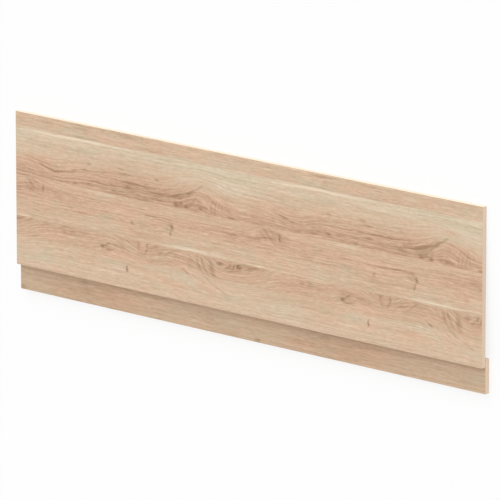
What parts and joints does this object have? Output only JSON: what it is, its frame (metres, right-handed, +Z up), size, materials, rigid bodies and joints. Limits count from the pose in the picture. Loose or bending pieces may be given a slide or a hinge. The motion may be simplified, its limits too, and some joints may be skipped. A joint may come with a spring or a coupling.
{
  "type": "bath panel",
  "caption": "Two-piece bath front panel: a long wood-effect board with a set-back plinth screwed behind its lower edge, closing the side of a built-in bath down to the floor.",
  "frame": {"origin": "on the floor, under the middle of the panel as it lies face up", "axes": "+X along the panel, to the right seen from the front; +Y from the plinth's foot towards the panel's top edge; +Z up, out of the wood face but for the small lean that the plinth gives it as it lies"},
  "size_m": [1.7, 0.5148, 0.0328],
  "materials": {
    "panel_board": "satin",
    "plinth_board": "satin",
    "screw_steel": "satin"
  },
  "bodies": {
    "root": {"front_panel": "panel_board", "plinth": "plinth_board", "plinth_screw_1": "screw_steel", "plinth_screw_2": "screw_steel", "plinth_screw_3": "screw_steel", "plinth_screw_4": "screw_steel", "plinth_screw_5": "screw_steel"}
  },
  "joints": []
}
